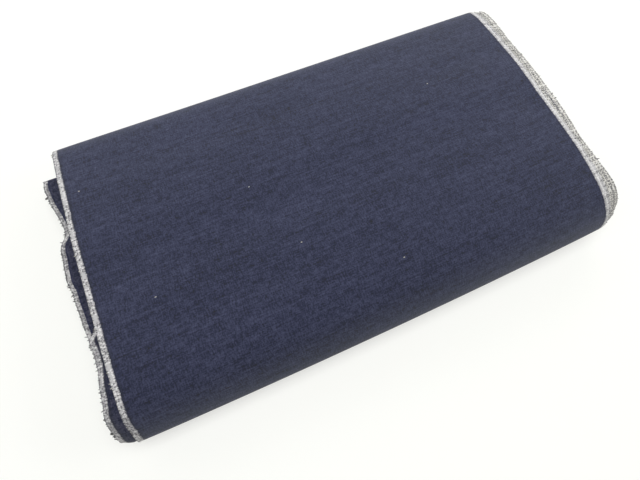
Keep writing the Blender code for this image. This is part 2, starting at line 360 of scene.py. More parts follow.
# The patterns beside the slubs: (mm across the cloth, mm along it, shift, weight)
WEB_PATTERNS = {
    "grain": (1.0, 1.0, 5.3, 2.3),
    "warp ticks": (1.0, 4.0, 7.7, 1.9),
    "weft ticks": (3.6, 0.9, 1.9, 1.3),
    "long slubs": (60, 1.5, 3.1, 0.8),
    "clots": (7, 5, 13.3, 1.0),
    "bands": (240, 13, 9.1, 0.45),
    "clouds": (60, 40, 11.9, 0.45),
}


def woven(tree, flat):
    """The ups and downs of a plain weave, from 0 to 1, at the spacing of its threads."""
    places = add_node(tree, "ShaderNodeSeparateXYZ", {0: flat})
    waves = []
    for axis, pitch in enumerate((WARP_PITCH, WEFT_PITCH)):
        stretch = {"operation": "MULTIPLY", 0: places[axis], 1: math.pi / pitch}
        angle = add_node(tree, MATH, stretch)[0]
        waves.append(add_node(tree, MATH, {"operation": "SINE", 0: angle})[0])
    crossed = add_node(tree, MATH, {"operation": "MULTIPLY", 0: waves[0], 1: waves[1]})[0]
    return add_node(tree, MATH, {"operation": "MULTIPLY_ADD", 0: crossed, 1: 0.5, 2: 0.5})[0]


def indigo_colour(tree, flat):
    """The colour of the dyed web, and the height of its slubs."""
    slubs = stretched_noise(tree, flat, SLUB_MM, 2.0)
    terms = [(slubs, SLUB_WEIGHT)]
    for across, along, shift, weight in WEB_PATTERNS.values():
        terms.append((stretched_noise(tree, flat, (across, along), 1.0, shift), weight))
    mix = weighted_sum(tree, 0.5, *terms)
    # The mix runs on past its light end, for the palest slubs
    settings = {"data_type": "RGBA", "clamp_factor": False, "clamp_result": True}
    return add_node(tree, MIX, {**settings, 0: mix, 6: INDIGO_DARK, 7: INDIGO_LIGHT})[2], slubs


print("patterns of the web: slubs,", ", ".join(WEB_PATTERNS))

# %% The indigo finish
# The last threads of the web are beaten close against the selvedge, and look darker
BEATEN_RUN = 2.2 * MM
BEATEN_SHARE = 0.5


def indigo_finish(name, tone_scale, fuzz):
    """Dyed tsumugi silk: a scale on each of its colours, painted light and shade for the turns further
    in, and how much its fuzz shines.
    """
    material, tree, shader = new_finish(
        name,
        roughness=0.8,
        specular_ior_level=0.1,
        sheen_weight=fuzz,
        sheen_roughness=0.8,
        sheen_tint=linear("#F4F9FF"),
    )
    flat = add_node(tree, "ShaderNodeUVMap", {"uv_map": "flat cloth"})[0]
    colour, slubs = indigo_colour(tree, flat)
    # The scale on the colours: for the turns further in it is painted light and shade
    tone = {"operation": "MULTIPLY", 0: colour, 1: tone_scale}
    toned = add_node(tree, "ShaderNodeVectorMath", tone)[0]
    edge_gap = add_node(tree, "ShaderNodeAttribute", {"attribute_name": "from_edge"})["Fac"]
    rim = {"From Min": SELVEDGE_WIDTH, "From Max": SELVEDGE_WIDTH + BEATEN_RUN, "To Min": BEATEN_SHARE}
    beaten = add_node(tree, RANGE, {**rim, "Value": edge_gap})[0]
    shade = {"operation": "SCALE", 0: toned, "Scale": beaten}
    shaded = add_node(tree, "ShaderNodeVectorMath", shade)[0]
    height = weighted_sum(tree, 0.5, (slubs, 0.9), (woven(tree, flat), 0.35))
    colour_and_bump(tree, shader, shaded, height, 0.5, 0.25 * MM)
    return material


# Woven silk floss, dyed in the yarn: matt, with a soft sheen at a low angle from its fuzz
indigo_silk = indigo_finish("indigo_tsumugi_silk", (0.87, 0.9, 0.95), 0.15)
# The same silk further in, lighter and greyer with less fuzz: painted light and shade, not its dye
painted_tone_silk = indigo_finish("indigo_silk_painted_light_and_shade", (1.35, 1.2, 0.95), 0.12)
print("finishes:", indigo_silk.name, painted_tone_silk.name)

# %% [markdown]
# ## The pale selvedge
#
# Along each side the warps are undyed. They lie so close that they nearly cover the indigo weft,
# which only peeps out as small dark points between them. Where the edge has been rubbed or pulled,
# more weft shows, so the finish reads an attribute that each piece carries for that. The same
# attribute greys the pale warps, and on edges that lie deeper in or turn under that grey is painted
# shade. Past the selvedge's four millimetres the same finish turns to indigo, for strips that are
# wider.
#
# The places where the threads cross are the cells of a Voronoi pattern: some become pale beads and
# some dark points. The real ones are 0.4 by 0.6 mm, too fine to show, so the cells are drawn two
# to four times as large.

# %% What the selvedge finish reads
BEAD_ACROSS = 1.7 * MM
BEAD_ALONG = 1.1 * MM
BEAD_SHARE = 0.4
LINE_STRAY = 0.9 * MM
LINE_FROM = SELVEDGE_WIDTH - 0.6 * MM

# Undyed silk warps, close and even: paler and smoother than the web
selvedge_silk, tree, shader = new_finish(
    "undyed_silk_selvedge",
    roughness=0.68,
    specular_ior_level=0.3,
    sheen_weight=0.1,
    sheen_roughness=0.5,
    sheen_tint=linear("#FFFFFF"),
)
flat = add_node(tree, "ShaderNodeUVMap", {"uv_map": "flat cloth"})[0]
edge_gap, shows = (
    add_node(tree, "ShaderNodeAttribute", {"attribute_name": key})["Fac"]
    for key in ("from_edge", "weft_and_shade")
)
warps = stretched_noise(tree, flat, (0.8, 9), 2.0, 2.3)
rubbed = stretched_noise(tree, flat, (8, 6), 1.0, 6.1)
ragged = stretched_noise(tree, flat, (9, 1.3), 1.0, 4.9)
rim_noise = stretched_noise(tree, flat, (3, 0.9), 1.0, 8.7)
border_noise = stretched_noise(tree, flat, (1.6, 1.0), 1.0, 3.3)
cell_size = {"Scale": (1 / BEAD_ACROSS, 1 / BEAD_ALONG, 1), "Vector": flat}
cells = add_node(tree, "ShaderNodeMapping", cell_size)[0]
cell_kind = {"voronoi_dimensions": "2D", "Scale": 1.0, "Randomness": 0.75}
beads = add_node(tree, "ShaderNodeTexVoronoi", {**cell_kind, "Vector": cells})
drawn = add_node(tree, "ShaderNodeSeparateColor", {0: beads["Color"]})[0]
print("nodes so far:", len(tree.nodes))

# %% Where each part of the selvedge's look lies
# (what it is read from, where it starts, where it is full)
AREAS = {
    "cell_middle": (beads["Distance"], 0.6, 0.16),
    "frayed": (shows, 0.66, 0.72),
    "untouched": (shows, 0.1, 0.0),
    "by_web": (edge_gap, 2.8 * MM, 4.1 * MM),
    "towards_web": (edge_gap, 0.9 * MM, 4.4 * MM),
    "at_rim": (edge_gap, 1.6 * MM, 0.3 * MM),
    "at_border": (edge_gap, 2.4 * MM, 3.4 * MM),
    "rim_ticks": (rim_noise, 0.5, 0.6),
    "border_ticks": (border_noise, 0.52, 0.6),
}
area = {}
for name, (source, start, full) in AREAS.items():
    easing = {"interpolation_type": "SMOOTHSTEP", "Value": source, "From Min": start, "From Max": full}
    area[name] = add_node(tree, RANGE, easing)[0]

# Greying of the pale warps: partly weft that shows, partly painted shade on edges deeper in
worn_and_shade = add_node(tree, MATH, {"operation": "MULTIPLY", 0: shows, 1: 1.2})[0]
# A cell is a pale bead or, where weft shows enough, a dark point
is_bead = add_node(tree, MATH, {"operation": "GREATER_THAN", 0: drawn, 1: 1 - BEAD_SHARE})[0]
often = add_node(tree, MATH, {"operation": "ADD", 0: weighted_sum(tree, 0, (rubbed, 1.3)), 1: shows})[0]
is_point = add_node(tree, MATH, {"operation": "LESS_THAN", 0: drawn, 1: often})[0]
# Weft turns back at the very rim, and dives under the first indigo warps: both show as dark ticks
ticks = 0.0
for end in ("border", "rim"):
    more = {"operation": "MULTIPLY_ADD", 0: area[f"{end}_ticks"], 1: area[f"at_{end}"], 2: ticks}
    ticks = add_node(tree, MATH, more)[0]
tick_strength = add_node(tree, MATH, {"operation": "MINIMUM", 0: worn_and_shade, 1: 0.85})[0]
# The line between the selvedge and the web strays by less than a millimetre
line = {"operation": "MULTIPLY_ADD", 0: ragged, 1: LINE_STRAY, 2: LINE_FROM}
web_line = add_node(tree, MATH, line)[0]
in_web = add_node(tree, MATH, {"operation": "GREATER_THAN", 0: edge_gap, 1: web_line})[0]
print("areas:", ", ".join(area))

# %% The selvedge's coats of colour
WARP_LIGHT = linear("#D4D3D3")
WARP_SHADE = linear("#BAB9BA")
# A grey for rubbed edges, also painted shade on edges that lie deeper in or turn under
WORN_AND_SHADE_GREY = linear("#A3A2A3")
FRAYED_PALE = linear("#D2D0C9")
# Beside the web: partly the indigo warps' colour, partly painted shade, as of an edge curling down
BORDER_GREY_AND_SHADE = linear("#77777D")
BEAD_PALE = linear("#E6E5E4")
WEFT_DARK = linear("#3D3D44")
web_colour = indigo_colour(tree, flat)[0]
# Each coat lies over those before it: (its colour, how much of it lies there and more factors).
# Beside the web the pale warps are darkened: partly by the first indigo warps among them, partly
# as painted shade, as of an edge that curls down.
COATS = (
    (WARP_LIGHT, warps),
    (WORN_AND_SHADE_GREY, worn_and_shade),
    (FRAYED_PALE, area["frayed"]),
    (BORDER_GREY_AND_SHADE, area["by_web"]),
    (BORDER_GREY_AND_SHADE, area["untouched"], area["towards_web"]),
    (BEAD_PALE, is_bead, area["cell_middle"], 0.75),
    (WEFT_DARK, is_point, area["cell_middle"], 0.8),
    (WEFT_DARK, ticks, tick_strength),
    (web_colour, in_web),
)
colour = WARP_SHADE
for coat, amount, *factors in COATS:
    for factor in factors:
        amount = add_node(tree, MATH, {"operation": "MULTIPLY", 0: amount, 1: factor})[0]
    colour = add_node(tree, MIX, {"data_type": "RGBA", 0: amount, 6: colour, 7: coat})[2]
crossings = (area["cell_middle"], 0.9)
height = weighted_sum(tree, 0.5, (warps, 0.5), crossings, (woven(tree, flat), 0.4))
colour_and_bump(tree, shader, colour, height, 0.6, 0.2 * MM)
print("finish:", selvedge_silk.name, "in", len(COATS), "coats")

# %% [markdown]
# ## The yarn itself
#
# At the very edge each weft thread turns back into the cloth. These small returns stand out as
# loops of bare yarn, some indigo and some nearly undyed, which an attribute on each return says.
# Loose yarn has no flat place on the cloth, so its fuzz reads Object coordinates.

# %% The yarn finish
# Silk floss spun by hand and hardly twisted: no shine at all, and fibres a tenth of a mm apart
weft_yarn, tree, shader = new_finish(
    "hand_spun_weft_yarn", roughness=0.85, specular_ior_level=0.2, sheen_weight=0.05
)
place = add_node(tree, "ShaderNodeTexCoord")["Object"]
dyed = add_node(tree, "ShaderNodeAttribute", {"attribute_name": "dyed"})["Fac"]
dyes = {"data_type": "RGBA", 0: dyed, 6: linear("#BDBBB2"), 7: linear("#2C2C34")}
yarn_colour = add_node(tree, MIX, dyes)[2]
fuzz = {"Scale": 1 / (0.12 * MM), "Detail": 2.0, "Vector": place}
fibres = add_node(tree, "ShaderNodeTexNoise", fuzz)[0]
colour_and_bump(tree, shader, yarn_colour, fibres, 0.4, 0.05 * MM)
print("finish:", weft_yarn.name)

# %% [markdown]
# ## From a flat cut to a wound sheet
#
# A sheet starts as a grid at its true flat size, and keeps that flat place as its UV map in
# metres, as a tailor's chalk marks would. Then each of its points is laid where the winding takes
# it. Solidify gives the silk its thickness towards the inside, and is applied so that only the
# cut edges are shaded sharp.

# %% Cut a sheet and lay it
SHARP_FROM = math.radians(50)


def cut_and_lay(across_places, along_places, lay, edge_gap_of, weft_and_shade_of, flat_of=None):
    """A bmesh of a sheet: cut flat, marked with its flat place, then laid point by point.

    A strip that is cut in shares of its width gives its flat place in metres by flat_of.
    """
    bm = bmesh.new()
    chalk = bm.loops.layers.uv.new("flat cloth")
    from_edge = bm.verts.layers.float.new("from_edge")
    weft_and_shade = bm.verts.layers.float.new("weft_and_shade")
    steps = (len(across_places) - 1, len(along_places) - 1)
    bmesh.ops.create_grid(bm, x_segments=steps[0], y_segments=steps[1], size=0.5)
    for vert in bm.verts:
        i, j = (round((vert.co[k] + 0.5) * steps[k]) for k in (0, 1))
        vert.co = (across_places[i], along_places[j], 0)
        vert[from_edge] = edge_gap_of(vert.co.x, vert.co.y)
        vert[weft_and_shade] = weft_and_shade_of(vert.co.x, vert.co.y)
    for face in bm.faces:
        for loop in face.loops:
            place = loop.vert.co.xy
            loop[chalk].uv = flat_of(*place) if flat_of else place
    for vert in bm.verts:
        vert.co = lay(vert.co.x, vert.co.y)
    return bm


def as_object(name, bm, finish):
    """An object from a bmesh, with its finish. It isn't in the scene yet."""
    mesh = bpy.data.meshes.new(name)
    bm.to_mesh(mesh)
    bm.free()
    mesh.materials.append(finish)
    mesh.shade_smooth()
    return bpy.data.objects.new(name, mesh)


def apply_modifiers(piece):
    """Give a piece the mesh that its modifiers make, and drop them."""
    graph = bpy.context.evaluated_depsgraph_get()
    piece.data = bpy.data.meshes.new_from_object(piece.evaluated_get(graph))
    piece.modifiers.clear()


def as_piece(name, bm, finish, thickness=CLOTH_THICK):
    """A finished piece that rides on the bundle: its sheet given its thickness and its finish."""
    piece = as_object(name, bm, finish)
    bpy.context.scene.collection.objects.link(piece)
    if thickness:
        wall = piece.modifiers.new("thickness", "SOLIDIFY")
        wall.thickness = thickness
        wall.offset = -1
        wall.use_even_offset = True
        apply_modifiers(piece)
        piece.data.set_sharp_from_angle(angle=SHARP_FROM)
    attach(piece, "root")
    return piece


def nearest_edge(across):
    """How far a place on the cloth is from its nearest selvedge."""
    return min(across, CLOTH_WIDTH - across)


print(f"the cloth's middle is {nearest_edge(CLOTH_WIDTH / 2) / MM:.1f} mm from its edges")

# %% [markdown]
# ## The turns that show
#
# Three turns of cloth are real sheets here, each a full width of silk that goes once round. The
# free end of the cloth lies on the underside. There the end of each turn slides in over it by one
# pitch and becomes the start of the next, as on any winding.

# %% How a turn lies
CUT_SHARE = 0.965
LAP_RUN = 46 * MM
FREE_EDGE_CURL = 0.45
FREE_FROM = 3 * MM
ROUND_STEPS = 420


def smoothly(t):
    """From 0 to 1, leaving and arriving level."""
    t = min(max(t, 0.0), 1.0)
    return t * t * (3 - 2 * t)


def turn_of_cloth(layer, slip, next_slip):
    """A function that lays a turn's flat place (across, along) in the bundle."""

    def lay(across, along):
        share = CUT_SHARE - 1 + along / ROUND
        lap = smoothly((along - ROUND + LAP_RUN) / LAP_RUN)
        sideways, sink = edge_flutter(across, along, layer)
        slid = slip_at(slip, share) * (1 - lap) + slip_at(next_slip, share) * lap
        x = across - CLOTH_WIDTH / 2 + slid + sideways
        free = max(0.0, -x - CLOTH_WIDTH / 2 - FREE_FROM)
        inwards = (layer + lap) * TURN_PITCH + min(layer + lap, 1) * FREE_EDGE_CURL * free
        inwards += (sink + crease_depth(across, share)) * (1 - lap)
        return bundle_point(x, *section_place(share, max(inwards, 0.0)))

    return lay


def even_places(low, high, steps):
    """Places at equal steps from low to high."""
    return [low + (high - low) * i / steps for i in range(steps + 1)]


ALONG = even_places(0, ROUND, ROUND_STEPS)
LEFT_BAND = [SELVEDGE_WIDTH * k for k in (0, 0.1, 0.3, 0.55, 0.8, 1)]
RIGHT_BAND = [CLOTH_WIDTH - place for place in reversed(LEFT_BAND)]
print("steps round a turn:", ROUND_STEPS)


# %% A turn of cloth with its selvedges
def share_along(along):
    """The share of the way round at a place along a turn's cloth."""
    return (CUT_SHARE - 1 + along / ROUND) % 1


def make_turn(name, lay, web_places, shows_of, silk, right_pale=1.0):
    """A turn's web and its two selvedges, each standing for the solid of the same name.

    shows_of is how much weft shows left and right, which also greys the pale warps as painted
    shade where an edge lies deeper in, and right_pale how much of the right selvedge's width is pale.
    """

    def edge_gap(across, along):
        return nearest_edge(across) / (right_pale if across > CLOTH_WIDTH / 2 else 1.0)

    bm = cut_and_lay(web_places, ALONG, lay, edge_gap, lambda across, along: 0.0)
    web = as_piece(f"{name}_turn_cloth", bm, silk)
    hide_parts(f"{name}_turn")
    bands = []
    for side, places, shows in zip(("left", "right"), (LEFT_BAND, RIGHT_BAND), shows_of):
        bm = cut_and_lay(
            places, ALONG, lay, edge_gap, lambda across, along: between_rows(shows, share_along(along))
        )
        band = as_piece(f"{name}_selvedge_{side}_band", bm, selvedge_silk)
        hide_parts(f"{name}_selvedge_{side}")
        bands.append(band)
    return web, bands


print(f"a turn starts at share {share_along(0):.3f} of the way round")

# %% The three outer turns
web_low, web_high = SELVEDGE_WIDTH, CLOTH_WIDTH - SELVEDGE_WIDTH
OUTER_WEB = even_places(web_low, web_high, 76)
NEAR_EDGE = 15 * MM
HIDDEN_WEB = (
    even_places(web_low, web_low + NEAR_EDGE, 6)
    + even_places(web_low + NEAR_EDGE, web_high - NEAR_EDGE, 6)[1:-1]
    + even_places(web_high - NEAR_EDGE, web_high, 6)
)
# How much weft shows in a selvedge: (share of the way round, 0 to 1). On the rubbed and loose
# edges it also paints shade, greying the pale warps where they turn under or lie deeper in.
RUBBED_AND_SHADED_SHOWS = (
    (0.0, 0.64), (0.06, 0.55), (0.1, 0.64), (0.14, 0.36), (0.2, 0.4), (0.28, 0.33),
    (0.36, 0.46), (0.42, 0.45), (0.45, 0.2), (0.49, 0.55), (0.58, 0.58),
)
CLEAN_SHOWS = ((0, 0.0),)
LOOSE_AND_SHADED_SHOWS = ((0, 0.6),)
# The frayed edges on the right are at their worst round the front corner
FRAYED_SHOWS = ((0.0, 0.92), (0.13, 0.9), (0.18, 0.74), (0.9, 0.74))

lays = {
    "outer": turn_of_cloth(0, OUTER_SLIP, SECOND_SLIP),
    "second": turn_of_cloth(1, SECOND_SLIP, THIRD_SLIP),
    "third": turn_of_cloth(2, THIRD_SLIP, THIRD_SLIP),
}
turns = {
    "outer": make_turn(
        "outer", lays["outer"], OUTER_WEB, (RUBBED_AND_SHADED_SHOWS, CLEAN_SHOWS), indigo_silk, right_pale=0.8
    )
}
for name in ("second", "third"):
    turns[name] = make_turn(name, lays[name], HIDDEN_WEB, (LOOSE_AND_SHADED_SHOWS, FRAYED_SHOWS), painted_tone_silk)
print(f"outer web: {len(turns['outer'][0].data.polygons)} faces")

# %% [markdown]
# ## Other slipped edges on the right
#
# Between the turns that are built whole lie others, and on the right their woven edges step out
# past the outer one like the pages of a book that was pushed over. Only the selvedge of each
# shows, so each is a strip of cloth eleven millimetres wide, laid by the same rule as a turn.

# %% Strips for the slipped edges
STRIP_WIDTH = 11 * MM
STRIP_PALE_SHARE = 1.6
STRIP_THICK = 0.42 * MM
# Each strip's layer among the turns, how much its weft shows, and its slip table
SLIPPED = {
    "slipped_edge_a": (
        0.5, 0.35,
        ((0.0, 3), (0.1, 3.4), (0.18, 2.6), (0.3, 1.2), (0.5, 2.2), (0.62, 1), (0.85, 2)),
    ),
    "slipped_edge_b": (
        1.5, 1.0,
        (
            (0.0, 5), (0.08, 6.4), (0.1, 8.2), (0.13, 8.8), (0.17, 6.6), (0.24, 5),
            (0.36, 5.6), (0.52, 6.4), (0.64, 4), (0.85, 3.4),
        ),
    ),
    "slipped_edge_c": (
        2.5, 1.0,
        (
            (0.0, 6), (0.1, 9.6), (0.15, 9.4), (0.22, 6.9), (0.32, 8.1), (0.44, 7.2),
            (0.53, 9.2), (0.64, 4.4), (0.85, 2.4),
        ),
    ),
}
STRIP_STEPS = (0, 0.3, 0.56, 0.7, 0.85, 0.96, 1)
STRIP_PLACES = [CLOTH_WIDTH - STRIP_WIDTH * (1 - step) for step in STRIP_STEPS]
slipped_lays = {}
for name, (layer, weft_share, slip) in SLIPPED.items():
    slipped_lays[name] = turn_of_cloth(layer, slip, slip)
    bm = cut_and_lay(
        STRIP_PLACES,
        ALONG,
        slipped_lays[name],
        lambda across, along: nearest_edge(across) / STRIP_PALE_SHARE,
        lambda across, along: weft_share * between_rows(FRAYED_SHOWS, share_along(along)),
    )
    as_piece(name, bm, selvedge_silk, STRIP_THICK)

# %% [markdown]
# ## The hidden turns
#
# Some twenty-four more turns fill the bundle. Only their woven edges show, as the layered ends.
# Each end is one long strip, wound in a true spiral from inside the third turn down to the
# innermost one: the section shrinks in height much more than in depth, as a flat winding does.
# Layers bunch together and part again, and each turn's edge strays in and out on its own.

# %% The spiral of an end
HIDDEN_TURNS = 24
HIDDEN_STEPS = 124
OUTER_TURNS = 3
INNERMOST_DEPTH = 0.845
INNERMOST_HEIGHT = 0.09
HIDDEN_THICK = 0.4 * MM
BUNCHING = 0.55
EDGE_STRAY_MM = 0.9
EDGE_FRAY_MM = 0.16
END_BASE = CLOTH_WIDTH / 2 - 11 * MM
MIDDLE_HEIGHT_MM = ((-110, 18.5), (-62, 22.5), (0, 21.5), (60, 18.7), (110, 15.5))
# How far the edges stand out past the woven width: (share of the way in, mm)
ENDS_OUT_MM = {
    "right": ((0.0, 8.0), (0.25, 5.0), (0.6, 2.0), (1.0, 0.0)),
    "left": ((0.0, -2.0), (0.5, -1.0), (1.0, 0.5)),
}


def hidden_section(wound):
    """(depth, height) after so many hidden turns, 0 being just inside the third turn."""
    angle = 2 * math.pi * (wound % 1)
    way = Vector((math.cos(angle), math.sin(angle), wound * 0.42))
    nesting = min(max((wound + BUNCHING * noise(way)) / HIDDEN_TURNS, 0.0), 1.0)
    depth, height = section_place(wound, OUTER_TURNS * TURN_PITCH)
    middle = between_rows(MIDDLE_HEIGHT_MM, depth / MM) * MM
    narrower = 1 - nesting * (1 - INNERMOST_DEPTH)
    flatter = 1 - nesting * (1 - INNERMOST_HEIGHT)
    new_middle = between_rows(MIDDLE_HEIGHT_MM, depth * narrower / MM) * MM
    return depth * narrower, new_middle + (height - middle) * flatter


def hidden_edge(wound, side):
    """How far from the bundle's middle a hidden turn's edge lies, in metres."""
    angle = 2 * math.pi * (wound % 1)
    way = Vector((1.6 * math.cos(angle), 1.6 * math.sin(angle), wound * 0.9))
    stray = EDGE_STRAY_MM * noise(way) + EDGE_FRAY_MM * noise(Vector((wound * 70, 3, 5)))
    out = between_rows(ENDS_OUT_MM[side], wound / HIDDEN_TURNS)
    return CLOTH_WIDTH / 2 + (out + stray) * MM


def spiral_end(side):
    """A function that lays (share of the strip's width from its edge, turns wound) at an end."""
    sign = 1 if side == "right" else -1

    def lay(share_in, wound):
        edge = hidden_edge(wound, side)
        x = edge + (END_BASE - edge) * share_in
        return bundle_point(sign * x, *hidden_section(wound))

    return lay


def spiral_length():
    """How long the strip of an end is, measured along its winding."""
    places = [hidden_section(i / HIDDEN_STEPS) for i in range(HIDDEN_TURNS * HIDDEN_STEPS + 1)]
    return sum(math.dist(a, b) for a, b in zip(places, places[1:]))


HIDDEN_LENGTH = spiral_length()
PER_TURN = HIDDEN_LENGTH / HIDDEN_TURNS
print(f"{HIDDEN_TURNS} hidden turns take {HIDDEN_LENGTH:.2f} m of cloth")

# %% Lay the strips of both ends
ACROSS_END = (0, 0.1, 0.35, 0.7, 1)
hidden_ends = {}
wound_places = even_places(0, HIDDEN_TURNS, HIDDEN_TURNS * HIDDEN_STEPS)
for side in ("right", "left"):
    bm = cut_and_lay(
        ACROSS_END,
        wound_places,
        spiral_end(side),
        lambda share, wound: share * (hidden_edge(wound, side) - END_BASE),
        lambda share, wound: 0.4,
        lambda share, wound: (share * (hidden_edge(wound, side) - END_BASE), wound * PER_TURN),
    )
    if side == "right":
        bmesh.ops.reverse_faces(bm, faces=bm.faces[:])
    hidden_ends[side] = as_piece(
        f"hidden_selvedges_{side}", bm, selvedge_silk, HIDDEN_THICK
    )
    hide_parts(f"inner_selvedges_{side}")
    print(side, "end:", len(hidden_ends[side].data.polygons), "faces")

# %% [markdown]
# ## The innermost turn
#
# The first turn was folded flat to start the winding, and it has worked its way out on the left
# in a long wave. It is a flattened tube of cloth: one layer over the other, with a tight fold at
# each side. The upper layer's edge follows the wave, and the lower one lags a little behind it.

# %% The flattened tube
CORE_FRONT = -88 * MM
CORE_BACK = 90 * MM
CORE_HALF = 1.0 * MM
CORE_STEPS = 150
CORE_PALE_SHARE = 0.8
CORE_LAG = 0.9 * MM
CORE_STRAY = 0.35 * MM
# (place from front to back, how far the edge stands out past the woven width), in mm
CORE_OUT_MM = (
    (-88, 5.5), (-60, 8.5), (-33, 10.7), (-12, 12.2), (-4, 12.6), (4, 13.9), (14, 13.9),
    (20, 13.5), (26, 13.3), (31, 13), (34, 12.1), (36.5, 10.5), (39, 8.7), (43, 7.5),
    (48, 7.6), (54, 8.7), (66, 11.5), (76, 13.2), (84, 14), (90, 13.4),
)
CORE_FLAT_RUN = CORE_BACK - CORE_FRONT - 2 * CORE_HALF
CORE_FOLD_RUN = math.pi * CORE_HALF
CORE_ROUND = 2 * (CORE_FLAT_RUN + CORE_FOLD_RUN)


def core_section(along):
    """(depth, height over the middle) round the flattened tube, from front to back on top."""
    along %= CORE_ROUND
    front, back = CORE_FRONT + CORE_HALF, CORE_BACK - CORE_HALF
    if along < CORE_FLAT_RUN:
        return front + along, CORE_HALF
    along -= CORE_FLAT_RUN
    if along < CORE_FOLD_RUN:
        angle = along / CORE_HALF
        return back + CORE_HALF * math.sin(angle), CORE_HALF * math.cos(angle)
    along -= CORE_FOLD_RUN
    if along < CORE_FLAT_RUN:
        return back - along, -CORE_HALF
    angle = (along - CORE_FLAT_RUN) / CORE_HALF
    return front - CORE_HALF * math.sin(angle), -CORE_HALF * math.cos(angle)


def core_edge(along):
    """How far left the innermost turn's edge lies, as a positive distance from the middle."""
    depth, over = core_section(along)
    lag = CORE_LAG * (0.5 - 0.5 * over / CORE_HALF)
    stray = CORE_STRAY * noise(Vector((along / (9 * MM), 4, 1)))
    return CLOTH_WIDTH / 2 + between_rows(CORE_OUT_MM, depth / MM) * MM + stray - lag


def lay_core(from_edge, along):
    """The place of the innermost turn's cloth, so far in from its edge."""
    depth, over = core_section(along)
    middle = between_rows(MIDDLE_HEIGHT_MM, depth / MM) * MM
    return bundle_point(-(core_edge(along) - from_edge), depth, middle + over)


core_along = even_places(0, CORE_ROUND, 2 * CORE_STEPS)
core_band = [SELVEDGE_WIDTH * k for k in (0, 0.12, 0.35, 0.6, 0.8, 1)]
bm = cut_and_lay(
    core_band,
    core_along,
    lay_core,
    lambda gap, along: gap / CORE_PALE_SHARE,
    # Weft shows at 0.6 here, which also greys the pale warps as painted shade, deep under the turns
    lambda gap, along: 0.6,
)
core_selvedge = as_piece("core_selvedge_left_band", bm, selvedge_silk)
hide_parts("core_selvedge_left")
print("faces of the tube's selvedge:", len(core_selvedge.data.polygons))

# %% The tube's web
# It has no dark rim, so all of it counts as further from its edge than the rim reaches
PAST_RIM = 8 * MM


def core_web_place(share_in, along):
    """The web's flat place, from the selvedge in to where the hidden turns' strips begin."""
    full = core_edge(along) - END_BASE
    return SELVEDGE_WIDTH + (full - SELVEDGE_WIDTH) * share_in, along


bm = cut_and_lay(
    (0, 0.3, 0.65, 1),
    core_along,
    lambda share, along: lay_core(*core_web_place(share, along)),
    lambda share, along: PAST_RIM,
    lambda share, along: 0.0,
    core_web_place,
)
core_web = as_piece("core_turn_cloth", bm, painted_tone_silk)
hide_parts("core_turn")
print(f"the innermost turn is {CORE_ROUND / MM:.0f} mm round")

# %% [markdown]
# ## Weft returns
#
# Up close, a selvedge isn't a clean cut. At its very edge each weft thread turns back, and the
# hand-spun yarn is so uneven that the returns stand out by a hair here and by most of a
# millimetre there. One small half ring of yarn is spun from a circle, and Geometry Nodes set a
# copy of it on every point along an edge, which is far quicker than copying it by hand.

# %% One return of yarn
RETURN_RADIUS = 0.5 * MM
YARN_RADIUS = 0.3 * MM


def return_template(name, sides, steps):
    """A half ring of yarn: its feet on the edge, its bow towards +Y."""
    bm = bmesh.new()
    stand = Matrix.Translation((RETURN_RADIUS, 0, 0)) @ Matrix.Rotation(math.pi / 2, 4, "X")
    bmesh.ops.create_circle(bm, segments=sides, radius=YARN_RADIUS, matrix=stand)
    bmesh.ops.spin(
        bm,
        geom=bm.verts[:] + bm.edges[:],
        cent=(0, 0, 0),
        axis=(0, 0, 1),
        angle=math.pi,
        steps=steps,
    )
    bmesh.ops.recalc_face_normals(bm, faces=bm.faces[:])
    return as_object(name, bm, weft_yarn)


fine_return = return_template("fine_return", 5, 5)
plain_return = return_template("plain_return", 4, 3)
print("a return has", len(fine_return.data.polygons), "faces")


# %% A way to set thousands
def copy_on_points(template):
    """Geometry Nodes that set the template on each point, turned and sized as the point says."""
    tree = bpy.data.node_groups.new("yarn on points", "GeometryNodeTree")
    for way in ("INPUT", "OUTPUT"):
        tree.interface.new_socket("Geometry", in_out=way, socket_type="NodeSocketGeometry")
    points = add_node(tree, "NodeGroupInput")[0]
    turned, sized = (
        add_node(tree, "GeometryNodeInputNamedAttribute", {"data_type": "FLOAT_VECTOR", "Name": key})[0]
        for key in ("turned", "sized")
    )
    rotation = add_node(tree, "FunctionNodeEulerToRotation", {0: turned})[0]
    shape = add_node(tree, "GeometryNodeObjectInfo", {"Object": template})["Geometry"]
    setting = {"Points": points, "Instance": shape, "Rotation": rotation, "Scale": sized}
    copies = add_node(tree, "GeometryNodeInstanceOnPoints", setting)[0]
    real = add_node(tree, "GeometryNodeRealizeInstances", {0: copies})[0]
    add_node(tree, "NodeGroupOutput", {0: real})
    return tree


def set_yarn(name, template, places):
    """A piece with the template's copy at each place: (point, rotation, size, share of dye)."""
    points = bpy.data.meshes.new(name)
    points.from_pydata([place[0] for place in places], [], [])
    for key, kind in (("turned", "FLOAT_VECTOR"), ("sized", "FLOAT_VECTOR"), ("dyed", "FLOAT")):
        points.attributes.new(key, kind, "POINT")
    # They are looked up once all are there, because adding one moves the others
    turned, sized, dyed = (points.attributes[key] for key in ("turned", "sized", "dyed"))
    for i, (_, rotation, size, dye) in enumerate(places):
        turned.data[i].vector = rotation.to_euler()
        sized.data[i].vector = size
        dyed.data[i].value = dye
    piece = bpy.data.objects.new(name, points)
    bpy.context.scene.collection.objects.link(piece)
    bpy.context.scene.collection.objects.link(template)
    piece.modifiers.new("copies", "NODES").node_group = copy_on_points(template)
    apply_modifiers(piece)
    bpy.context.scene.collection.objects.unlink(template)
    for vert in piece.data.vertices:
        vert.co.z = max(vert.co.z, 0.0)
    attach(piece, "root")
    return piece


print("node trees for copies so far:", len(bpy.data.node_groups))

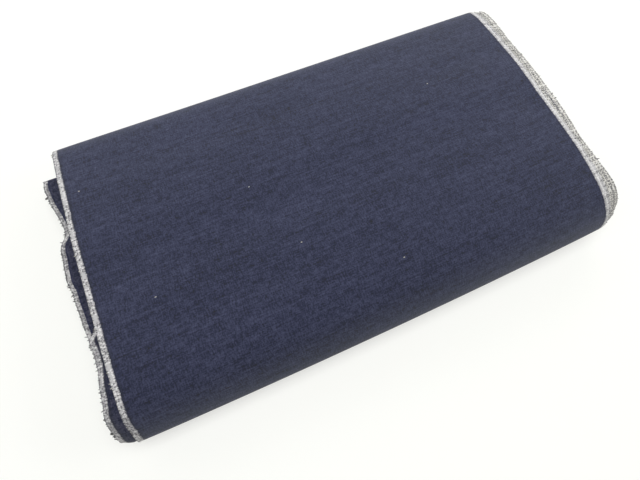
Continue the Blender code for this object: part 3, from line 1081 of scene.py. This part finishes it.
# %% Where the returns stand along an edge
ROOT_DEPTH = 0.45 * MM
LONGEST_RETURN = 1.6 * MM
MIDDLE_HEIGHT = 20 * MM
# How much the returns differ: in their tilt and turn as radians, and in their reach
TILT, TURN, UNEVEN = 0.35, 0.25, 0.5
# Each from the least to the most
WIDTHS, STOUTNESS = (0.25, 0.7), (0.8, 1.5)
DARK_DYES, PALE_DYES = (0.75, 1.0), (0.0, 0.4)


def returns_along(lay, edge, inner, alongs, stand_out, dark_share, seed, thick=CLOTH_THICK):
    """Places for returns along an edge, which stand out so many mm, with a share of dark ones."""
    chance = random.Random(seed)
    places = []
    for along in alongs:
        along += chance.uniform(-0.5, 0.5) * MM
        root = lay(edge, along)
        ahead = (lay(edge, along + 0.4 * MM) - lay(edge, along - 0.4 * MM)).normalized()
        out = (root - lay(inner, along)).normalized()
        up = out.cross(ahead).normalized()
        if up.dot(Vector((0, root.y, root.z - MIDDLE_HEIGHT))) < 0:
            up = -up
        root -= up * thick / 2 + out * ROOT_DEPTH
        out = Quaternion(ahead, chance.gauss(0, TILT)) @ Quaternion(up, chance.gauss(0, TURN)) @ out
        sideways = up.cross(out).normalized()
        if sideways.dot(ahead) < 0:
            sideways = -sideways
        rotation = Matrix((sideways, out, sideways.cross(out))).transposed()
        reach = min(stand_out * MM * chance.lognormvariate(0, UNEVEN), LONGEST_RETURN) / RETURN_RADIUS
        size = (chance.uniform(*WIDTHS), reach, chance.uniform(*STOUTNESS))
        dye = chance.uniform(*(DARK_DYES if chance.random() < dark_share else PALE_DYES))
        places.append((root, rotation, size, dye))
    return places


print("the longest return stands", (LONGEST_RETURN - ROOT_DEPTH) / MM, "mm past its edge")

# %% Returns on every edge that shows
RETURN_PITCH = 1.9 * MM
edge_stops = even_places(0, ROUND, round(ROUND / RETURN_PITCH))[1:-1]
# Each edge of a turn, left and right: (mm that its returns stand out, share of dark ones, seed)
TURN_RETURNS = {
    "outer": ((0.3, 0.5, 11), (0.3, 0.15, 12)),
    "second": ((0.95, 0.9, 13), (0.6, 0.6, 14)),
    "third": ((0.6, 0.6, 15), (0.5, 0.5, 16)),
}
INWARD_STEP = 2 * MM


def edge_returns(name, lay, side, row, thick=CLOTH_THICK):
    """Weft returns along one edge of a turn or strip."""
    edge, inner = 0, INWARD_STEP
    if side == "right":
        edge, inner = CLOTH_WIDTH, CLOTH_WIDTH - INWARD_STEP
    return set_yarn(name, fine_return, returns_along(lay, edge, inner, edge_stops, *row, thick))


turn_yarn = {
    name: [
        edge_returns(f"{name}_weft_returns_{side}", lays[name], side, row)
        for side, row in zip(("left", "right"), rows)
    ]
    for name, rows in TURN_RETURNS.items()
}
strip_yarn = {
    name: edge_returns(f"{name}_weft_returns", lay, "right", (0.45, 0.5, 20 + i), STRIP_THICK)
    for i, (name, lay) in enumerate(slipped_lays.items())
}
core_stops = even_places(0, CORE_ROUND, round(CORE_ROUND / RETURN_PITCH))[1:-1]
core_places = returns_along(lay_core, 0, INWARD_STEP, core_stops, 0.65, 0.9, 17)
core_yarn = set_yarn("core_weft_returns", fine_return, core_places)
print("returns on one edge of the outer turn:", len(edge_stops))

# %% [markdown]
# Hand-spun floss also leaves neps: tiny knots of fibre that took no dye. Only a handful show on the
# top. Each is a small flattened ball, and they are joined to one piece.

# %% Neps on the top
NEP_RADIUS = 0.42 * MM
NEP_SIZE = Matrix.Diagonal((1.5, 0.8, 0.5, 1))
# (mm across the cloth, share of the way round)
NEPS = ((12.5, 0.442), (123.4, 0.347), (40.4, 0.243), (141.7, 0.237), (203, 0.16), (286, 0.41))
bm = bmesh.new()
for across, share in NEPS:
    place = Matrix.Translation(lays["outer"](across * MM, (share + 1 - CUT_SHARE) * ROUND))
    bmesh.ops.create_icosphere(bm, subdivisions=2, radius=NEP_RADIUS, matrix=place @ NEP_SIZE)
neps = as_piece("outer_neps", bm, weft_yarn, 0)
print("neps on the top:", len(NEPS))

# %% Returns on the layered ends
HIDDEN_RETURN_PITCH = 2.1 * MM


def hidden_returns(side, seed):
    """Weft returns along the spiral edge of an end, which needs its stops in turns wound."""
    lay_end = spiral_end(side)
    stops = even_places(0, HIDDEN_TURNS, round(HIDDEN_LENGTH / HIDDEN_RETURN_PITCH))[1:-1]

    def lay(share_in, along):
        return lay_end(share_in, along / PER_TURN)

    alongs = [stop * PER_TURN for stop in stops]
    places = returns_along(lay, 0, 0.5, alongs, 0.45, 0.4, seed, HIDDEN_THICK)
    return set_yarn(f"hidden_weft_returns_{side}", plain_return, places)


hidden_yarn = {"right": hidden_returns("right", 30), "left": hidden_returns("left", 31)}
print({side: len(piece.data.polygons) for side, piece in hidden_yarn.items()})

# %% [markdown]
# ## The solid between the ends
#
# The frame's solid of hidden turns stays, because it is covered all over. It only shows as
# darkness between the layered edges, and takes a plain indigo of the same yarn.

# %% Dress the hidden solid
# The same dyed silk, seen only deep between layers: dull, with threads drawn 1 mm apart
deep_indigo, tree, shader = new_finish("indigo_in_the_depth", roughness=0.9, specular_ior_level=0.1)
place = add_node(tree, "ShaderNodeTexCoord")["Object"]
streaks = add_node(tree, "ShaderNodeMapping", {"Scale": (60, 900, 900), "Vector": place})[0]
threads = add_node(tree, "ShaderNodeTexNoise", {"Scale": 1.0, "Vector": streaks})[0]
dyes = {"data_type": "RGBA", 0: threads, 6: linear("#181A2A"), 7: linear("#34364C")}
tree.links.new(add_node(tree, MIX, dyes)[2], shader.inputs["Base Color"])
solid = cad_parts["inner_turns"]
solid.data.materials.clear()
solid.data.materials.append(deep_indigo)
print("the frame's solid has", len(solid.data.polygons), "triangles")

# %% [markdown]
# ## The widths of the strips
#
# Each sheet was cut to a size: a turn is the cloth's full width by one way round, a slipped edge
# and a layered end are the strips that show, and the innermost turn is as wide as it stands out of
# the end. Here only the widths of the layered ends and the innermost turn are worked out, and
# nothing else is done with them.

for name, (web, bands) in turns.items():
    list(bands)
for side, end in hidden_ends.items():
    widths = [hidden_edge(wound / 4, side) - END_BASE for wound in range(4 * HIDDEN_TURNS + 1)]
core_widths = [core_edge(along) - END_BASE for along in core_along]

# %% [markdown]
# ## Table, light and camera
#
# The bundle lies on a white table that is all but free of shadow, as a sheet of opal acrylic is
# when it's lit from below. So the table has a glow of its own, and without it the front fold
# would throw a dark band. Around it stand soft lights, most of them low, so they skim the silk and
# wake its sheen. The camera stands over the left front of the bundle and looks steeply down,
# turned a little on its axis.

# %% The table
TABLE_GLOW = 0.59
TABLE_HALF = 3
BELOW_CLOTH = 0.3 * MM
# Opal acrylic, sanded matt: it spreads the light from below evenly, with a faint haze
table_white, tree, shader = new_finish(
    "opal_acrylic_light_table",
    roughness=0.6,
    specular_ior_level=0.2,
    emission_color=linear("#FCFCF9"),
    emission_strength=TABLE_GLOW,
)
place = add_node(tree, "ShaderNodeTexCoord")["Object"]
haze = add_node(tree, "ShaderNodeTexNoise", {"Scale": 3.0, "Vector": place})[0]
whites = {"data_type": "RGBA", 0: haze, 6: linear("#A9AAA6"), 7: linear("#ACADA9")}
tree.links.new(add_node(tree, MIX, whites)[2], shader.inputs["Base Color"])

bm = bmesh.new()
bmesh.ops.create_grid(bm, x_segments=1, y_segments=1, size=TABLE_HALF)
bmesh.ops.translate(bm, verts=bm.verts[:], vec=(0, 0, -BELOW_CLOTH))
table = as_object("table", bm, table_white)
bpy.context.scene.collection.objects.link(table)
print("the table is", 2 * TABLE_HALF, "m wide")

# %% The lights
scene = bpy.context.scene
scene.view_settings.view_transform = "Standard"
# (name, degrees round from the right end towards the back, degrees up, watts)
SOFT_LIGHTS = (
    ("right_light", -8, 22, 10.2),
    ("back_right_light", 45, 22, 6.6),
    ("back_light", 90, 22, 4.2),
    ("back_left_light", 135, 22, 5.2),
    ("left_light", 180, 50, 5.2),
    ("front_right_light", 315, 50, 0.8),
    ("top_light", 0, 90, 14.5),
)
LIGHT_SIZE = 1.0
LIGHT_DISTANCE = 1.5
for name, round_degrees, up_degrees, watts in SOFT_LIGHTS:
    light = bpy.data.lights.new(name, "AREA")
    light.shape = "SQUARE"
    light.size = LIGHT_SIZE
    light.energy = watts
    lamp = bpy.data.objects.new(name, light)
    turn, rise = math.radians(round_degrees), math.radians(up_degrees)
    level = math.cos(rise)
    towards = Vector((math.cos(turn) * level, math.sin(turn) * level, math.sin(rise)))
    lamp.location = towards * LIGHT_DISTANCE
    lamp.rotation_euler = (-towards).to_track_quat("-Z", "Y").to_euler()
    scene.collection.objects.link(lamp)
print("soft lights:", len(SOFT_LIGHTS))

# %% The camera
CAMERA_LENS = 28.63
CAMERA_AZIMUTH = math.radians(-36.336)
CAMERA_ELEVATION = math.radians(69.374)
CAMERA_ROLL = math.radians(12.281)
CAMERA_DISTANCE = 0.3707
CAMERA_AIM = Vector((-0.02568, -0.03392, 0.02))

camera = bpy.data.objects.new("camera", bpy.data.cameras.new("camera"))
camera.data.lens = CAMERA_LENS
camera.data.sensor_width = 36
camera.data.clip_start = 0.01
level = math.cos(CAMERA_ELEVATION)
back = Vector(
    (
        math.sin(CAMERA_AZIMUTH) * level,
        -math.cos(CAMERA_AZIMUTH) * level,
        math.sin(CAMERA_ELEVATION),
    )
)
camera.location = CAMERA_AIM + back * CAMERA_DISTANCE
upright = (-back).to_track_quat("-Z", "Y")
camera.rotation_mode = "QUATERNION"
camera.rotation_quaternion = upright @ Quaternion((0, 0, 1), CAMERA_ROLL)
scene.collection.objects.link(camera)
scene.camera = camera
print("camera at", [round(c, 3) for c in camera.location])
